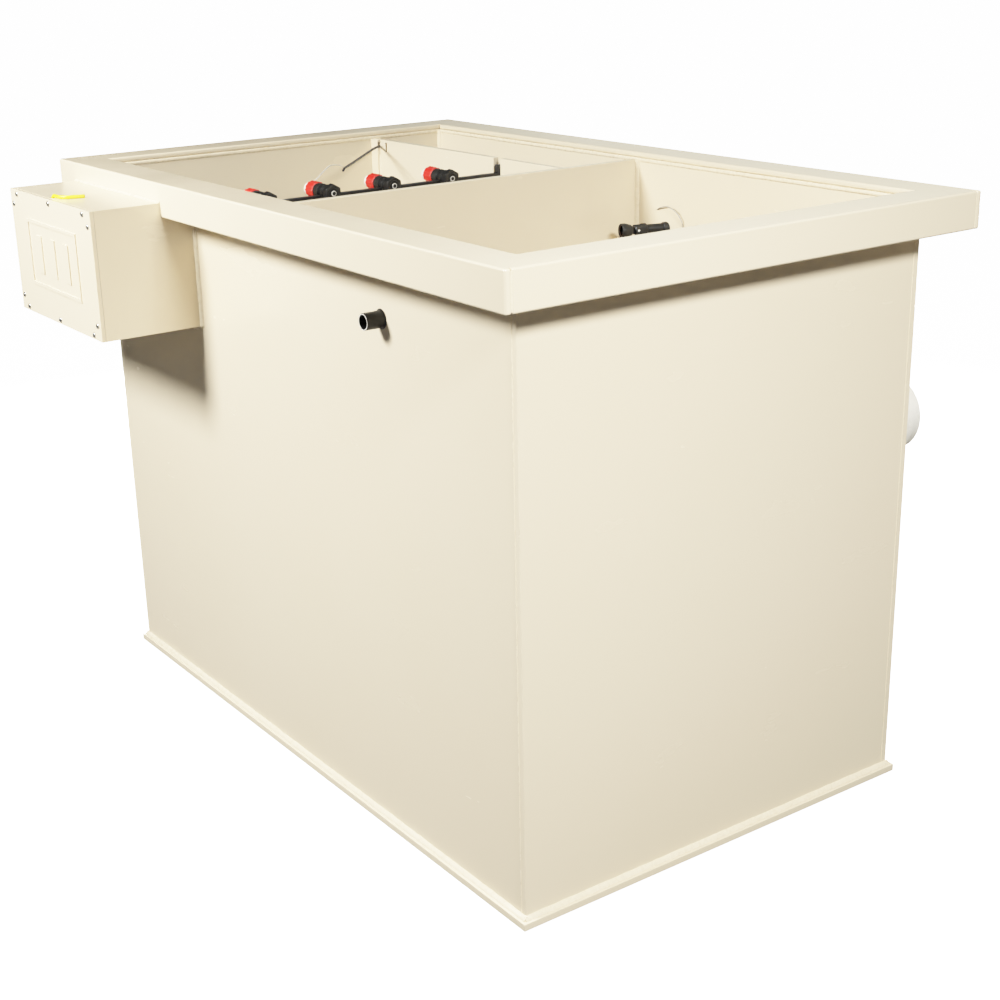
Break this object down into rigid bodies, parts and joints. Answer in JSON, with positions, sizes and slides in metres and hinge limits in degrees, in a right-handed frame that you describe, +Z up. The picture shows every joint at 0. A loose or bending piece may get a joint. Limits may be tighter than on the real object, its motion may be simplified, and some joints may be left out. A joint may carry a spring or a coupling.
{
  "type": "salt chlorine generator",
  "caption": "Open-topped welded plastic tank with a wide rim, inner partitions, a lift-out bar of electrolytic cell heads, a side control enclosure and pipe connections.",
  "frame": {"origin": "on the floor, under the middle of the tank", "axes": "+Z up, X along the tank, -Y towards the front wall with the enclosure and the inlet stub"},
  "size_m": [1.4, 1.0075, 0.97],
  "materials": {
    "cream_sheet": "cream polypropylene sheet, satin, slightly glossy where it is smooth",
    "black_plastic": "black moulded plastic, satin",
    "red_plastic": "orange-red moulded plastic",
    "white_plastic": "white moulded plastic",
    "yellow_insulation": "yellow cable insulation",
    "seal_rubber": "pale foam rubber",
    "zinc_steel": "zinc-plated steel",
    "titanium": "coated titanium, dull",
    "circuit_board": "green circuit board",
    "grey_housing": "grey housing"
  },
  "bodies": {
    "tank": {"base_plate": "cream_sheet", "front_wall": "cream_sheet", "back_wall": "cream_sheet", "left_wall": "cream_sheet", "right_wall": "cream_sheet", "rim_front": "cream_sheet", "rim_right": "cream_sheet", "rim_back": "cream_sheet", "rim_left": "cream_sheet", "main_partition": "cream_sheet", "rear_partition": "cream_sheet", "cable_duct": "cream_sheet", "carrier_bracket": "cream_sheet", "enclosure_body": "cream_sheet", "inlet_stub": "black_plastic", "level_switch_stem": "black_plastic", "cable_gland": "black_plastic", "outlet_socket": "white_plastic", "earth_lead": "yellow_insulation", "enclosure_gasket": "seal_rubber", "mounting_plate": "zinc_steel", "control_board": "circuit_board", "power_supply": "grey_housing", "terminal_block": "grey_housing", "level_switch_lead": "grey_housing"},
    "cover": {"enclosure_cover": "cream_sheet", "cover_screw_01": "zinc_steel", "cover_screw_02": "zinc_steel", "cover_screw_03": "zinc_steel", "cover_screw_04": "zinc_steel", "cover_screw_05": "zinc_steel", "cover_screw_06": "zinc_steel", "cover_screw_07": "zinc_steel", "cover_screw_08": "zinc_steel", "cover_screw_09": "zinc_steel", "cover_screw_10": "zinc_steel"},
    "carrier": {"cell_carrier": "black_plastic", "cell_cable": "black_plastic", "cell_lead": "white_plastic", "cell_1_body": "black_plastic", "cell_1_terminal": "white_plastic", "cell_1_electrodes": "titanium", "cell_2_body": "black_plastic", "cell_2_terminal": "white_plastic", "cell_2_electrodes": "titanium", "cell_3_body": "black_plastic", "cell_3_terminal": "white_plastic", "cell_3_electrodes": "titanium", "cell_4_body": "black_plastic", "cell_4_terminal": "white_plastic", "cell_4_electrodes": "titanium"},
    "cap_1": {"cell_1_cap": "red_plastic"},
    "nut_1": {"cell_1_nut": "black_plastic"},
    "cap_2": {"cell_2_cap": "red_plastic"},
    "nut_2": {"cell_2_nut": "black_plastic"},
    "cap_3": {"cell_3_cap": "red_plastic"},
    "nut_3": {"cell_3_nut": "black_plastic"},
    "cap_4": {"cell_4_cap": "red_plastic"},
    "nut_4": {"cell_4_nut": "black_plastic"},
    "float": {"level_float": "black_plastic"}
  },
  "joints": [
    {"name": "cover_off", "type": "slide", "parent": "tank", "child": "cover", "axis": [0, -1, 0], "range_m": [0, 0.12]},
    {"name": "carrier_lift", "type": "slide", "parent": "tank", "child": "carrier", "axis": [0, 0, 1], "range_m": [0, 0.42]},
    {"name": "float_swing", "type": "hinge", "parent": "tank", "child": "float", "pos_m": [0.06544, 0.314, 0.845], "axis": [0.9553, -0.2957, 0], "range_deg": [0, 35]},
    {"name": "cap_1_turn", "type": "hinge", "parent": "carrier", "child": "cap_1", "pos_m": [-0.232, -0.284, 0.934], "axis": [1, 0, 0], "range_deg": [0, 90]},
    {"name": "cap_2_turn", "type": "hinge", "parent": "carrier", "child": "cap_2", "pos_m": [-0.232, -0.1615, 0.934], "axis": [1, 0, 0], "range_deg": [0, 90]},
    {"name": "cap_3_turn", "type": "hinge", "parent": "carrier", "child": "cap_3", "pos_m": [-0.232, -0.039, 0.934], "axis": [1, 0, 0], "range_deg": [0, 90]},
    {"name": "cap_4_turn", "type": "hinge", "parent": "carrier", "child": "cap_4", "pos_m": [-0.232, 0.0835, 0.934], "axis": [1, 0, 0], "range_deg": [0, 90]},
    {"name": "nut_1_turn", "type": "hinge", "parent": "carrier", "child": "nut_1", "pos_m": [-0.1755, -0.284, 0.934], "axis": [1, 0, 0], "continuous": true},
    {"name": "nut_2_turn", "type": "hinge", "parent": "carrier", "child": "nut_2", "pos_m": [-0.1755, -0.1615, 0.934], "axis": [1, 0, 0], "continuous": true},
    {"name": "nut_3_turn", "type": "hinge", "parent": "carrier", "child": "nut_3", "pos_m": [-0.1755, -0.039, 0.934], "axis": [1, 0, 0], "continuous": true},
    {"name": "nut_4_turn", "type": "hinge", "parent": "carrier", "child": "nut_4", "pos_m": [-0.1755, 0.0835, 0.934], "axis": [1, 0, 0], "continuous": true}
  ]
}
